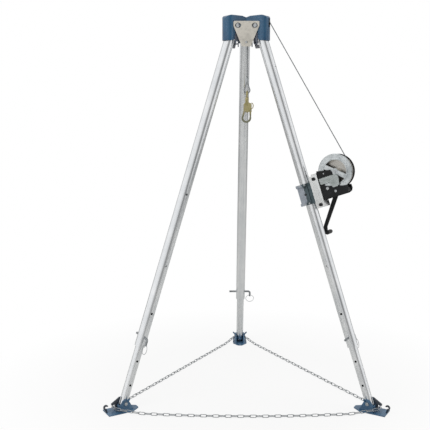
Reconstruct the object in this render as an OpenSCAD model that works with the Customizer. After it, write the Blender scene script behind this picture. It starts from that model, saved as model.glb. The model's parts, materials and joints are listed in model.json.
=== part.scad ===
// Rescue tripod: three folding, telescoped aluminium legs under a cast head, a cable winch clamped
// to the right leg, a line over two head sheaves to a snap hook, and a chain through the three feet.
// Millimetres. The origin is on the ground under the head, +Z is up and the front is towards -Y.

/* [Stance] */
// Lean of each leg from the vertical, in degrees
leg_angle = 18.8; // [17:0.1:20]
// Distance from the tripod's axis to a leg hinge
hinge_r = 80; // [78:1:84]
// Leg length from its hinge to its foot pivot
leg_len = 2096; // [2050:2:2200]
// Height of a foot pivot above the ground
pivot_h = 46; // [45:0.5:54]

/* [Legs] */
// Outer diameter of an upper leg tube
upper_d = 57; // [54:0.5:58]
// Wall of an upper leg tube
upper_wall = 3.2; // [2.5:0.1:4]
// Outer diameter of a lower leg tube
lower_d = 45; // [40:0.5:46]
// Wall of a lower leg tube
lower_wall = 3.2; // [2.5:0.1:5]
// Upper tube beyond its hinge
upper_stub = 16; // [14:0.5:17]
// Upper tube from its hinge to its lower end
upper_reach = 1788; // [1740:2:1830]
// Length of a lower leg tube
lower_len = 800; // [600:10:1000]
// Lower tube beyond its foot pivot
lower_stub = 20; // [16:0.5:22]
// Spacing of the height holes
hole_pitch = 132; // [120:1:140]
// Distance of the lock pin from the upper tube's lower end
pin_edge = 53; // [40:1:60]
// Length of the nylon bush between the tubes
bush_len = 90; // [75:1:120]
// Length of the plug in a leg's top
plug_len = 80; // [60:1:120]
// Diameter of the small holes in the winch leg's outer side
side_hole_d = 9; // [6:0.5:12]
// Distances of those holes from the hinge
side_hole_at = [92, 238];

/* [Lock pins] */
// Diameter of a lock pin
pin_d = 12; // [10:0.5:14]
// Pin beyond the leg's axis on its tip side
pin_tip = 74; // [60:1:90]
// Pin beyond the leg's axis to its bent end
pin_bend_at = 62; // [50:1:75]
// Length of the bent end
pin_drop = 24; // [20:1:45]
// Outer radius of the ring in the bent end
ring_r = 27; // [20:0.5:30]
// Wire diameter of that ring
ring_wire = 2.4; // [2:0.1:3]

/* [Head] */
// Wall of the head casting
shell_wall = 6; // [5:0.5:8]
// Side clearance between a leg and the head
leg_side_gap = 1.5; // [1:0.1:3]
// Head below the hinge
shell_drop = 77; // [70:1:85]
// Rise of the head's top above the hinge at an arm's end
arm_rise = 55; // [52:0.5:65]
// Rise of the head's top above the hinge at the centre
centre_rise = 40; // [39:0.5:50]
// Distance from the tripod's axis where the head's top starts to fall to the centre
shoulder_r = 44; // [42:1:60]
// Radius of an arm's upper outer corner
corner_r = 32; // [24:1:34]
// Diameter of a leg hinge bolt
hinge_d = 16; // [12:0.5:18]
// Radius of a bolt boss on the head
boss_r = 18; // [17:0.5:20]
// Distance of a keystone plate's face from the axis
plate_out = 84; // [82:0.5:88]
// Thickness of a keystone plate
plate_t = 5; // [4:0.5:6]
// Half width of a keystone plate at its top
plate_top_w = 69; // [66:0.5:72]
// Half width of a keystone plate at its foot
plate_foot_w = 27; // [22:0.5:30]
// Top of a keystone plate above the hinge
plate_up = 23; // [20:0.5:26]
// Foot of a keystone plate below the hinge
plate_down = 110; // [100:1:120]
// Diameter of a keystone plate's anchor hole
plate_hole_d = 14; // [8:0.5:15]
// Diameter of an anchor eye's hole
eye_hole_d = 13; // [10:0.5:14]
// Width of an anchor eye
eye_w = 24; // [22:0.5:25]

/* [Sheaves and line] */
// Diameter of the steel line
line_d = 5; // [4:0.1:6]
// Outer radius of a head sheave
sheave_r = 18; // [17.5:0.1:18.5]
// Radius of the line's path round a sheave
sheave_path_r = 16; // [15:0.1:16.5]
// Width of a sheave
sheave_w = 12; // [10:0.5:13]
// Diameter of a sheave axle
axle_d = 12; // [10:0.5:14]
// Distance of the outer sheave from the tripod's axis
sheave_out = 128; // [127:0.5:131]
// Height of the sheaves above the leg hinge
sheave_up = 13; // [12:0.5:15]
// Distance of the hanging line from the tripod's axis
drop_r = 10; // [0:0.5:12]

/* [Winch] */
// Winch drum axis along the leg from its hinge
drum_s = 870; // [840:5:900]
// Winch drum axis outward from the leg's axis
drum_n = 188; // [188:1:198]
// Radius of the drum flanges
flange_r = 91; // [89:0.5:91]
// Thickness of a drum flange
flange_t = 3; // [2.5:0.1:4]
// Space between the drum flanges
drum_w = 30; // [29:0.5:32]
// Outer radius of the drum barrel
barrel_r = 66; // [62:0.5:68]
// Wall of the drum barrel
barrel_wall = 4; // [3:0.5:6]
// Radius of the outer layer of turns
wind_r = 80; // [78:0.5:83]
// Turns in the outer layer
wind_turns = 4; // [3:1:4]
// Step from turn to turn
wind_pitch = 6.2; // [5.8:0.05:6.4]
// Diameter of the drum axle
drum_axle_d = 16; // [12:0.5:18]
// Gear module of the drive
gear_module = 2; // [2:0.01:2.02]
// Teeth of the drum gear
gear_teeth = 40; // [40:1:40]
// Teeth of the crank pinion
pinion_teeth = 14; // [14:1:14]
// Width of the drum gear
gear_w = 10; // [8:0.5:11]
// Direction of the crank shaft from the drum axis, in degrees from down the leg towards the leg
shaft_turn = 13; // [10:1:20]
// Thickness of a winch side plate
cheek_t = 4; // [3:0.5:5]
// Crank radius from its shaft to its grip
crank_len = 296; // [250:2:310]
// Direction of the crank at rest, in degrees from down the leg towards the leg
crank_turn = 33; // [0:1:60]
// Bend of the crank bar off its straight line near the grip
crank_kink = 17; // [0:1:20]
// Width of the crank bar
crank_w = 22; // [18:1:26]
// Thickness of the crank bar
crank_t = 8; // [6:0.5:10]
// Length of the crank grip
grip_len = 52; // [40:1:110]
// Diameter of the crank grip
grip_d = 23; // [20:1:32]

/* [Winch bracket] */
// Length of the bracket along the leg
bracket_len = 174; // [165:1:180]
// Outer face of the saddle from the leg's axis
saddle_n = 40; // [38:0.5:40]
// Depth of the mounting channel
channel_h = 38; // [36:0.5:38]
// Wall of the mounting channel
channel_wall = 4; // [3:0.5:5]
// Depth of the clamp's shell
clamp_wall = 7; // [5:0.5:7]
// Length of the clamp along the leg
clamp_len = 114; // [104:1:120]
// Diameter of the clamp bolts
clamp_bolt_d = 8; // [6:0.5:8]

/* [Feet] */
// Thickness of a foot plate
foot_t = 6; // [5:0.5:8]
// Half width of a foot plate
foot_w = 46; // [44:0.5:52]
// Foot plate from its pivot to its outer end
foot_out = 100; // [98:1:104]
// Foot plate from its pivot to its inner tip
foot_in = 79; // [70:1:90]
// Thickness of a foot ear
ear_t = 6; // [5:0.5:8]
// Radius of a foot ear round its bolt
ear_r = 22; // [19:0.5:26]
// Diameter of a foot bolt
foot_bolt_d = 12; // [10:0.5:14]
// Thickness of the fin and the claw of a foot
fin_t = 9; // [7:0.5:12]

/* [Chain] */
// Wire diameter of the chain
chain_wire = 4; // [3.6:0.1:4.2]
// Length of chain that one link makes, about
link_pitch = 32.8; // [31:0.1:34]
// Inner width of a link
link_in_w = 9; // [8.8:0.1:10]
// Bow of the front span towards the front
chain_bow = 46; // [30:1:60]
// Height of the chain where a foot holds it
chain_hold_h = 24; // [20:0.5:27]

/* [Snap hook] */
// Height of the hook's lowest point above the ground
hook_h = 1513; // [1300:1:1530]
// Radius of the hook's bowl inside
bowl_r = 17; // [16:0.5:18]
// Depth of the hook's section
hook_bar = 10; // [9:0.5:11]
// Height of the hook's throat above the bowl's centre
throat_h = 34; // [32:1:42]
// Height of the hook's solid upper part
body_h = 50; // [46:1:56]
// Thickness of the hook
hook_t = 14; // [12:0.5:18]
// Diameter of the swivel stem
stem_d = 12; // [10:0.5:13]
// Diameter of the gate pin
gate_pin_d = 5; // [4:0.5:6]

/* [Fits] */
// Radial clearance of a turning or sliding fit
run_gap = 0.08; // [0.04:0.01:0.1]
// Clearance between pieces that move past each other
move_gap = 0.4; // [0.3:0.05:0.6]
// Radial clearance of a fixed tube in a tube
fit_gap = 0.1; // [0.05:0.01:0.15]

/* [Hidden] */
$fn = 64;
SIDES = ["left", "right", "back"];
ARM_AZ = [210, 330, 90];

// Stance, derived
hinge_h = pivot_h + leg_len * cos(leg_angle);
foot_r = hinge_r + leg_len * sin(leg_angle);
upper_r = upper_d / 2;
upper_in = upper_r - upper_wall;
lower_r = lower_d / 2;
pin_s = upper_reach - pin_edge;
pin_r = pin_d / 2;
pin_side = [1, 1, -1];
upper_hole_steps = [1, 3, 6];
lower_hole_steps = [-2, -1, 0, 1, 2];

// Head, derived
arm_in = upper_r + leg_side_gap;
arm_w = arm_in + shell_wall;
arm_r = hinge_r + shell_drop * tan(leg_angle) + upper_r / cos(leg_angle) + move_gap - arm_in;
arm_end = arm_r + arm_w;
boss_t = arm_w + 4;
boss_over = 14;
nut_r = 12.5;
nut_h = 8;
recess_r = nut_r + 1;
wall_cut_r = 60;
wall_cut_up = -25;
plate_step = 26;
plate_round = 8;
plate_hole_up = 23;
eye_r = 80;
eye_t = 5;
eye_top = -38;
eye_low = -100;
slot_w = sheave_w + 2 * 1.5;
sheave_z = hinge_h + sheave_up;
axle_r = axle_d / 2;
centre_sheave_r = drop_r + sheave_path_r;
cheek_low = 14;
cheek_thick = 5;
line_r = line_d / 2;
line_top = sheave_z + sheave_path_r;
groove_r = sheave_path_r - line_r - move_gap / 2;

// Winch, derived. Leg frame: x outward, y along the leg hinge axis, z up the leg from the hinge.
near_face = -(drum_w / 2 + flange_t);
far_face = drum_w / 2 + flange_t;
near_cheek = near_face - 4;
gear_y = far_face;
far_cheek = gear_y + gear_w + 3;
gear_r = gear_module * gear_teeth / 2;
pinion_r = gear_module * pinion_teeth / 2;
shaft_dist = gear_r + pinion_r;
shaft_x = drum_n - shaft_dist * sin(shaft_turn);
shaft_z = -drum_s - shaft_dist * cos(shaft_turn);
shaft_r = 8;
shaft_boss_r = 15;
shaft_boss_len = 18;
crank_y = far_cheek + cheek_t + shaft_boss_len + 3;
crank_x = -crank_len * sin(crank_turn);
crank_z = -crank_len * cos(crank_turn);
grip_pin_r = 6;
drum_axle_r = drum_axle_d / 2;
hub_r = 17;
web_w = 24;
rim_r = 2.4;
window_r = barrel_r - barrel_wall;
base_in = saddle_n + channel_h;
base_t = 12;
base_skin = 3;
base_flange_in = 20;
frame_in = base_in + base_t;
channel_half = 30;
base_half = channel_half + fit_gap + channel_wall;
far_flange_r = flange_r - 6.5;
disc_r = flange_r - 1;
bracket_s = drum_s - 13;
clamp_s = drum_s + 15;

// Line to the winch: it leaves the sheave and the outer turn on their outer sides
sheave_local = leg_point([sheave_out, sheave_up]);
line_dx = drum_n - sheave_local[0];
line_dz = -drum_s - sheave_local[1];
line_span = sqrt(line_dx * line_dx + line_dz * line_dz);
line_dir = atan2(line_dz, line_dx);
line_lean = asin((wind_r - sheave_path_r) / line_span);
line_normal = line_dir + 90 + line_lean;
line_start = [sheave_local[0] + sheave_path_r * cos(line_normal), 0,
              sheave_local[1] + sheave_path_r * sin(line_normal)];
wind_half = (wind_turns - 0.5) * wind_pitch / 2;
line_touch = [drum_n + wind_r * cos(line_normal), wind_half, -drum_s + wind_r * sin(line_normal)];
line_way = unit(line_touch - line_start);
line_stop = line_touch - line_d * line_way;
line_lead = 4;
line_from = line_start + (line_lead + move_gap) * line_way;

// Feet and chain, derived. Foot frame: x outward from the pivot, z up from the pivot.
ear_in = lower_r + 1;
ear_out = ear_in + ear_t;
web_x = sqrt(lower_r * lower_r + lower_stub * lower_stub) + 2;
web_t = 6;
web_top = -6;
fin_gap = 6;
fin_top = 31;
notch_x = web_x + web_t + 11;
link_out_w = link_in_w + 2 * chain_wire;
notch_dip = 0.5;
chain_hold_x = notch_x + link_out_w / 2 - notch_dip;
chain_floor_h = link_out_w / 2 + 0.4;
chain_ease = 170;
link_gap = 0.3;
link_slack = 0.68;
end_slack = 0.25;

// The first link of a span turns away from the straight way to clear the foot's ears. The span holds an
// odd number of links, and their inner length follows from the distance between the feet.
chain_turn = 22;
home_span = sqrt(3) * (foot_r + chain_hold_x);
span_links = 2 * floor(home_span / link_pitch / 2) + 1;
half_links = (span_links + 1) / 2;
link_seat = link_in_w / 2 - link_gap;
link_in_len = (home_span + link_in_w / 2 + 2 * (end_slack - link_seat) * cos(chain_turn)
    + (span_links - 2) * link_slack) / (span_links - 1.5 + 2 * cos(chain_turn));

// Hook, derived
hook_out = bowl_r + hook_bar;
bowl_h = hook_h + hook_out;
bridge_h = bowl_h + throat_h;
bridge_top = bridge_h + body_h;
neck_top = bridge_top + 24;
neck_r = stem_d / 2 + 4;
ring_big = 14;
ring_bar = 5;
eye_h = neck_top + 22;
thimble_big = 15;
thimble_bar = 3;
thimble_h = eye_h + ring_big - ring_bar - move_gap - thimble_bar + thimble_big;
ferrule_r = 6;
ferrule_top = thimble_h + 68;
drop_top = sheave_z - line_lead - move_gap;
drop_low = ferrule_top + move_gap;
bowl_x = -3;
gate_x = bowl_x + (bowl_r + hook_out) / 2;
gate_pivot_h = bridge_h + 6;
gate_t = 6;
nose_h = bowl_h + 6;

// Colours
aluminium = "gainsboro";
blue_paint = "steelblue";
zinc = "silver";
black = [0.12, 0.12, 0.13];
gold = "goldenrod";

// Point (r, up) of an arm's upright plane, in the frame of its leg
function leg_point(p) = [
    (p[0] - hinge_r) * cos(leg_angle) + p[1] * sin(leg_angle),
    -(p[0] - hinge_r) * sin(leg_angle) + p[1] * cos(leg_angle)
];

// Points of an arc about c
function arc(c, r, from, to, steps) = [
    for (i = [0:steps]) let (a = from + (to - from) * i / steps) [c[0] + r * cos(a), c[1] + r * sin(a)]
];

// Unit vector
function unit(v) = v / norm(v);

// Faces of a closed tube of rings, in triangles
function tube_faces(rings, sides) = concat(
    [for (i = [0:rings - 2], j = [0:sides - 1]) let (k = (j + 1) % sides)
        each [[i * sides + j, (i + 1) * sides + j, i * sides + k],
              [i * sides + k, (i + 1) * sides + j, (i + 1) * sides + k]]],
    [for (j = [1:sides - 2]) [0, j, j + 1]],
    [for (j = [1:sides - 2]) let (b = (rings - 1) * sides) [b, b + j + 1, b + j]]
);

// Direction of a path at point i, where the ends take their own straight run
function path_way(p, i) =
    i == 0 ? unit(p[1] - p[0]) :
    i == len(p) - 1 ? unit(p[i] - p[i - 1]) :
    unit(unit(p[i] - p[i - 1]) + unit(p[i + 1] - p[i]));

// One tube along a path, with its rings turned about a fixed side direction
module tube(p, r, sides, flat) {
    rings = [for (i = [0:len(p) - 1]) let (w = path_way(p, i), u = unit(cross(flat, w)), v = cross(w, u))
        for (j = [0:sides - 1]) p[i] + r * (cos(360 * j / sides) * u + sin(360 * j / sides) * v)];
    polyhedron(points = rings, faces = tube_faces(len(p), sides), convexity = 10);
}

// Frames
module at_arm(k) rotate([0, 0, ARM_AZ[k]]) children();
module at_leg(k) at_arm(k) translate([hinge_r, 0, hinge_h]) rotate([0, -leg_angle, 0]) children();
module at_foot(k) at_arm(k) translate([foot_r, 0, pivot_h]) children();
module at_drum() at_leg(1) translate([drum_n, 0, -drum_s]) children();
module at_hook() at_arm(1) translate([drop_r, 0, 0]) rotate([0, 0, -ARM_AZ[1]]) children();

// Rod along y from a to b
module y_rod(r, a, b) translate([0, a, 0]) rotate([-90, 0, 0]) cylinder(r = r, h = b - a);

// Hexagon along y from a to b
module y_hex(r, a, b) translate([0, a, 0]) rotate([-90, 0, 0]) cylinder(r = r, h = b - a, $fn = 6);

// Plate in the x-z plane, from y = a to y = b
module xz_plate(a, b) translate([0, b, 0]) rotate([90, 0, 0]) linear_extrude(b - a) children();

// Head casting: three arms that wrap the leg tops
module arm_solid(half_w, end_r, low, centre_up, end_up, round_r, reach) {
    plan = concat([[0, -half_w]], arc([end_r, 0], half_w, -90, 90, 20), [[0, half_w]]);
    side = concat(
        [[-1, low], [reach, low]],
        arc([reach - round_r, end_up - round_r], round_r, 0, 90, 8),
        [[shoulder_r, end_up - 2], [-1, centre_up]]);
    intersection() {
        translate([0, 0, hinge_h + low - 1]) linear_extrude(end_up - low + 2) polygon(plan);
        translate([0, 0, hinge_h]) xz_plate(-half_w - 1, half_w + 1) polygon(side);
    }
}

module at_hinge() translate([hinge_r, 0, hinge_h]) children();

module arm_bosses() at_hinge() {
    y_rod(boss_r, arm_in + 1, boss_t + boss_over);
    y_rod(boss_r, -boss_t - boss_over, -arm_in - 1);
}

module arm_cuts() {
    arm_solid(arm_in, arm_r, -shell_drop - 1, centre_rise - shell_wall, arm_rise - shell_wall,
        corner_r - shell_wall, arm_end - shell_wall);
    cut = [
        [-arm_w, -shell_drop - 1], [arm_r - 5, -shell_drop - 1], [wall_cut_r, wall_cut_up],
        [-arm_w, wall_cut_up]];
    translate([0, 0, hinge_h]) xz_plate(-arm_w - 2, arm_w + 2) polygon(cut);
    at_hinge() {
        y_rod(hinge_d / 2 + run_gap, -boss_t - boss_over - 1, boss_t + boss_over + 1);
        y_rod(recess_r, boss_t, boss_t + boss_over + 1);
        y_rod(recess_r, -boss_t - boss_over - 1, -boss_t);
    }
}

// Room in front of each keystone plate's back face
module plate_room(k) {
    rotate([0, 0, ARM_AZ[k] + 60])
        translate([plate_out - plate_t, -plate_top_w - 1, hinge_h - plate_down])
            cube([arm_end, 2 * plate_top_w + 2, plate_down + plate_up + 1]);
}

module sheave_cheeks() at_arm(1) {
    for (m = [0, 1]) mirror([0, m, 0])
        translate([centre_sheave_r - cheek_low, slot_w / 2, sheave_z - cheek_low])
            cube([2 * cheek_low, cheek_thick, centre_rise - sheave_up + cheek_low + 1]);
}

module head_shell() color(blue_paint) difference() {
    union() {
        difference() {
            union() for (k = [0:2]) at_arm(k) {
                arm_solid(arm_w, arm_r, -shell_drop, centre_rise, arm_rise, corner_r, arm_end);
                arm_bosses();
            }
            for (k = [0:2]) at_arm(k) arm_cuts();
            for (k = [0:2]) plate_room(k);
            // Slot for the outer sheave and the line that comes down from it
            at_arm(1) translate([arm_r, -slot_w / 2, sheave_z - sheave_r - 3])
                cube([arm_w + 20, slot_w, 2 * sheave_r + 10]);
        }
        sheave_cheeks();
    }
    at_arm(1) {
        translate([sheave_out, 0, sheave_z]) y_rod(axle_r + fit_gap, -axle_half - 0.5, axle_half + 0.5);
        translate([centre_sheave_r, 0, sheave_z])
            y_rod(axle_r + fit_gap, -centre_half - 1, centre_half + 1);
    }
}

axle_reach = sheave_out + axle_r - arm_r;
axle_half = sqrt(arm_w * arm_w - axle_reach * axle_reach) - 1;
centre_half = slot_w / 2 + cheek_thick;

// Keystone plate with two bolt windows and an anchor hole
module keystone(k) color(zinc) rotate([0, 0, ARM_AZ[k] + 60]) translate([plate_out, 0, hinge_h]) {
    outline = concat(
        [[plate_top_w - 4, plate_up], [plate_top_w, plate_up - 4], [plate_top_w, plate_up - plate_step]],
        arc([plate_foot_w - plate_round, -plate_down + plate_round], plate_round, 0, -90, 6),
        arc([plate_round - plate_foot_w, -plate_down + plate_round], plate_round, -90, -180, 6),
        [[-plate_top_w, plate_up - plate_step], [-plate_top_w, plate_up - 4], [4 - plate_top_w, plate_up]]);
    difference() {
        rotate([90, 0, 90]) translate([0, 0, -plate_t]) linear_extrude(plate_t) polygon(outline);
        translate([-plate_t - 1, 0, plate_hole_up - plate_down])
            rotate([0, 90, 0]) cylinder(d = plate_hole_d, h = plate_t + 2);
        for (turn = [-60, 60]) translate([-plate_out, 0, 0]) rotate([0, 0, turn]) translate([hinge_r, 0, 0])
            y_rod(recess_r, -60 * sign(turn) - 30, -60 * sign(turn) + 30);
    }
}

// Anchor eyes on the side walls of the arms
module anchor_eye() {
    tip = eye_low + eye_w / 2;
    outline = concat(
        [[-eye_w / 2, eye_top], [-eye_w / 2, tip]], arc([0, tip], eye_w / 2, 180, 360, 12),
        [[eye_w / 2, eye_top]]);
    difference() {
        xz_plate(arm_w, arm_w + eye_t) polygon(outline);
        translate([0, 0, tip]) y_rod(eye_hole_d / 2, arm_w - 1, arm_w + eye_t + 1);
    }
}

module anchor_eyes() color("slategray") for (k = [0:2], m = [0, 1])
    at_arm(k) mirror([0, m, 0]) translate([eye_r, 0, hinge_h]) anchor_eye();

// Leg hinge bolts and their nuts
module hinge_bolts() color(zinc) for (k = [0:2]) at_arm(k) at_hinge() {
    y_rod(hinge_d / 2, -boss_t - nut_h - 2, boss_t + 1);
    y_hex(nut_r, boss_t, boss_t + nut_h);
}

module hinge_nuts() color(zinc) for (k = [0:2]) at_arm(k) at_hinge() difference() {
    y_hex(nut_r, -boss_t - nut_h, -boss_t);
    y_rod(hinge_d / 2 + fit_gap, -boss_t - nut_h - 1, -boss_t + 1);
}

// Sheaves
module sheave(hub_half_w) rotate([-90, 0, 0]) rotate_extrude() difference() {
    union() {
        translate([axle_r + run_gap, -sheave_w / 2]) square([sheave_r - axle_r - run_gap, sheave_w]);
        translate([axle_r + run_gap, -hub_half_w]) square([3, 2 * hub_half_w]);
    }
    translate([groove_r + line_r + 1, 0]) circle(r = line_r + 1);
    translate([groove_r + line_r + 1, -line_r - 1]) square([sheave_r, line_d + 2]);
}

module outer_sheave() color(black) at_arm(1) translate([sheave_out, 0, sheave_z])
    sheave(slot_w / 2 - move_gap);

module outer_sheave_axle() color(zinc) at_arm(1) translate([sheave_out, 0, sheave_z])
    y_rod(axle_r, -axle_half, axle_half);

module centre_sheave() color(black) at_arm(1) translate([centre_sheave_r, 0, sheave_z])
    sheave(slot_w / 2 - move_gap);

module centre_sheave_axle() color(zinc) at_arm(1) translate([centre_sheave_r, 0, sheave_z])
    y_rod(axle_r, -centre_half, centre_half);

// Line over the two sheaves, in the upright plane of the winch leg's arm
module line_over_head() color("darkgray") at_arm(1) {
    lift = line_normal + leg_angle;
    over = concat(
        [[sheave_out + sheave_path_r * cos(lift) + line_lead * sin(lift), 0,
          sheave_z + sheave_path_r * sin(lift) - line_lead * cos(lift)]],
        [for (a = [0:5]) let (q = lift + (90 - lift) * a / 5)
            [sheave_out + sheave_path_r * cos(q), 0, sheave_z + sheave_path_r * sin(q)]],
        [for (a = [0:6]) let (q = 90 + 90 * a / 6)
            [centre_sheave_r + sheave_path_r * cos(q), 0, sheave_z + sheave_path_r * sin(q)]],
        [[drop_r, 0, sheave_z - line_lead]]);
    tube(over, line_r, 8, [0, 1, 0]);
}

// Legs
module tube_solid(r, wall, top, low) translate([0, 0, low]) difference() {
    cylinder(r = r, h = top - low);
    translate([0, 0, -1]) cylinder(r = r - wall, h = top - low + 2);
}

module upper_leg(k) color(aluminium) at_leg(k) difference() {
    tube_solid(upper_r, upper_wall, upper_stub, -upper_reach);
    y_rod(hinge_d / 2 + run_gap, -upper_d, upper_d);
    for (n = concat([0], upper_hole_steps)) translate([0, 0, -pin_s + n * hole_pitch])
        y_rod(pin_r + run_gap, -upper_d, upper_d);
    if (k == 1) for (s = side_hole_at) translate([0, 0, -s])
        rotate([0, 90, 0]) cylinder(d = side_hole_d, h = upper_d);
}

module lower_leg(k) color(aluminium) at_leg(k) difference() {
    low = -leg_len - lower_stub;
    tube_solid(lower_r, lower_wall, low + lower_len, low);
    translate([0, 0, -leg_len]) y_rod(foot_bolt_d / 2 + fit_gap, -lower_d, lower_d);
    for (n = lower_hole_steps) translate([0, 0, -pin_s - n * hole_pitch])
        y_rod(pin_r + run_gap, -lower_d, lower_d);
}

module leg_bush(k) color("white") at_leg(k) difference() {
    bush_wall = upper_in - lower_r - 2 * fit_gap;
    tube_solid(upper_in - fit_gap, bush_wall, bush_len - upper_reach + 1, 1 - upper_reach);
    translate([0, 0, -pin_s]) y_rod(pin_r + run_gap, -upper_d, upper_d);
}

module top_plug(k) color(zinc) at_leg(k) difference() {
    translate([0, 0, upper_stub - plug_len]) cylinder(r = upper_in - fit_gap, h = plug_len);
    y_rod(hinge_d / 2 + run_gap, -upper_d, upper_d);
}

module foot_bolt(k) color(zinc) at_foot(k) {
    head_y = ear_out + move_gap;
    y_rod(foot_bolt_d / 2, -head_y - 1, head_y + 1);
    for (m = [0, 1]) mirror([0, m, 0]) y_hex(foot_bolt_d / 2 + 3.5, head_y, head_y + 7);
}

// Foot: plate, two ears on the bolt, cross web, fin and claw
module foot_plate() {
    tip_w = 14;
    translate([0, 0, -pivot_h]) linear_extrude(foot_t) polygon([
        [foot_out, -foot_w], [foot_out, foot_w], [-foot_in + 44, foot_w], [-foot_in, tip_w],
        [-foot_in, -tip_w], [-foot_in + 44, -foot_w]]);
}

module foot_ear() {
    floor_z = foot_t - pivot_h - 0.5;
    outline = concat([[-46, floor_z], [web_x + 1, floor_z], [web_x + 1, web_top - 2]],
        arc([0, 0], ear_r, 15, 150, 12), [[-40, floor_z + 12]]);
    horn = [
        [ear_in, 8], [ear_out - 2, 18], [ear_out + 13, 30], [ear_out + 18, 30], [ear_out + 18, 24],
        [ear_out, 8]];
    difference() {
        union() {
            xz_plate(ear_in, ear_out) polygon(outline);
            translate([-18, 0, 0]) rotate([90, 0, 90]) linear_extrude(8) polygon(horn);
        }
        y_rod(foot_bolt_d / 2 + run_gap, ear_in - 1, ear_out + 30);
    }
}

module foot_web() {
    floor_z = foot_t - pivot_h - 0.5;
    translate([web_x, -ear_in - 1, floor_z]) cube([web_t, 2 * ear_in + 2, web_top - floor_z]);
}

// Outer side of the leg at height z in the foot frame
function leg_face(z) = lower_r / cos(leg_angle) - z * tan(leg_angle);

// Fin along the leg with the notch that the chain lies in, and the claw at the plate's outer end
module foot_fin() {
    floor_z = foot_t - pivot_h - 0.5;
    fin_x = leg_face(fin_top) + fin_gap;
    claw_at = [foot_out, -12];
    fin = [
        [web_x + 1, -24], [web_x + 1, web_top + 2], [fin_x, fin_top], [fin_x + 5, fin_top],
        [notch_x + 21, 2], [notch_x + 20, -7], [notch_x + 14, -7], [notch_x + 4, -3], [notch_x, -9],
        [notch_x - 1, -24]];
    claw = concat(
        [[foot_out - 8, floor_z], [foot_out, floor_z]],
        arc(claw_at, 14, -45, 150, 12), arc(claw_at, 6.5, 150, -110, 12));
    xz_plate(-fin_t / 2, fin_t / 2) polygon(fin);
    xz_plate(-fin_t / 2, fin_t / 2) polygon(claw);
}

module foot(k) color(blue_paint) at_foot(k) {
    foot_plate();
    foot_ear();
    mirror([0, 1, 0]) foot_ear();
    foot_web();
    foot_fin();
}

// Lock pin: bent rod with a ring in its end
module lock_pin(k) color(zinc) at_leg(k) translate([0, 0, -pin_s]) scale_side(pin_side[k]) {
    bend = pin_d;
    difference() {
        union() {
            y_rod(pin_r, -pin_tip, pin_bend_at - bend);
            translate([0, pin_bend_at - bend, -bend]) rotate([90, 0, 90])
                rotate_extrude(angle = 90) translate([bend, 0]) circle(r = pin_r);
            translate([0, pin_bend_at, -bend - pin_drop]) cylinder(r = pin_r, h = pin_drop);
        }
        translate([0, 0, -bend - pin_drop + ring_hole_up])
            y_rod(ring_wire / 2 + 0.4, 0, pin_bend_at + pin_d);
    }
    translate([0, pin_bend_at, -bend - pin_drop + ring_hole_up - ring_mid])
        rotate([0, 90, 0]) rotate_extrude() translate([ring_mid, 0]) circle(d = ring_wire);
}

module scale_side(s) mirror([0, s > 0 ? 0 : 1, 0]) children();

ring_mid = ring_r - ring_wire / 2;
ring_hole_up = 7;

// Chain: a link held by each foot and spans from foot to foot, cut near the middle of each span
straight = link_in_len - link_in_w;
function chain_home(k) = (foot_r + chain_hold_x) * [cos(ARM_AZ[k]), sin(ARM_AZ[k]), 0];
function chain_side(k) = unit(cross([0, 0, 1], chain_home(k)));
function chain_way(k) = unit(chain_home((k + 1) % 3) - chain_home(k));
function chain_out(k) = unit(chain_home((k + 1) % 3) + chain_home(k));

// Direction of the first (m = 1) or last (m = -1) link of span k, away from its foot
function end_way(k, m) = m * cos(chain_turn) * chain_way(k) + sin(chain_turn) * chain_out(k);

// Inner end of that link, at distance d along it
function end_point(k, m, d) = let (f = m > 0 ? k : (k + 1) % 3)
    chain_home(f) + m * straight / 2 * chain_side(f) + (link_seat + d) * end_way(k, m);
function chain_height(d) = let (e = max(0, 1 - d / chain_ease))
    chain_floor_h + (chain_hold_h - chain_floor_h) * e * e * (3 - 2 * e);
function chain_plan(k, i) =
    i == 0 ? end_point(k, 1, 0) :
    i == span_links ? end_point(k, -1, 0) :
    let (a = end_point(k, 1, link_in_len - end_slack), b = end_point(k, -1, link_in_len - end_slack),
         u = (i - 1) / (span_links - 2), bow = k == 0 ? chain_bow * 4 * u * (1 - u) : 0)
    a + (b - a) * u - [0, bow, 0];
function chain_point(k, i) =
    chain_plan(k, i) + [0, 0, chain_height(min(i, span_links - i) * link_in_len)];

// A link between two points, with its end rounds at them
module link_at(p, q, roll) {
    v = q - p;
    mid_r = (link_in_w + chain_wire) / 2;
    translate((p + q) / 2)
        rotate([0, -asin(v[2] / norm(v)), atan2(v[1], v[0])])
            rotate([roll, 0, 0]) {
                for (m = [0, 1]) mirror([m, 0, 0]) translate([straight / 2, 0, 0])
                    rotate([0, 0, -90]) rotate_extrude(angle = 180)
                        translate([mid_r, 0]) circle(d = chain_wire);
                for (y = [-mid_r, mid_r]) translate([-straight / 2, y, 0])
                    rotate([0, 90, 0]) cylinder(d = chain_wire, h = straight);
            }
}

module span_part(k, first, last) for (i = [first:last])
    link_at(chain_point(k, i), chain_point(k, i + 1), i % 2 == 0 ? 90 : 0);

module chain(k) color("silver") {
    side = chain_side(k) * link_in_len / 2;
    hold = chain_home(k) + [0, 0, chain_hold_h];
    link_at(hold - side, hold + side, 0);
    span_part(k, 0, half_links - 1);
    span_part((k + 2) % 3, half_links, span_links - 1);
}

// Winch bracket on the right leg
clamp_side = upper_r + fit_gap + clamp_wall;
clamp_deep = clamp_side + 2;
clamp_half = upper_r + 25.5;
clamp_bolt_y = upper_r + 17;
clamp_low = -clamp_s - clamp_len;
clamp_split = 0.5;
lip_len = 15;
lip_out = 2.4;
saddle_step = 20;
clamp_ear_t = 9;

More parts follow.
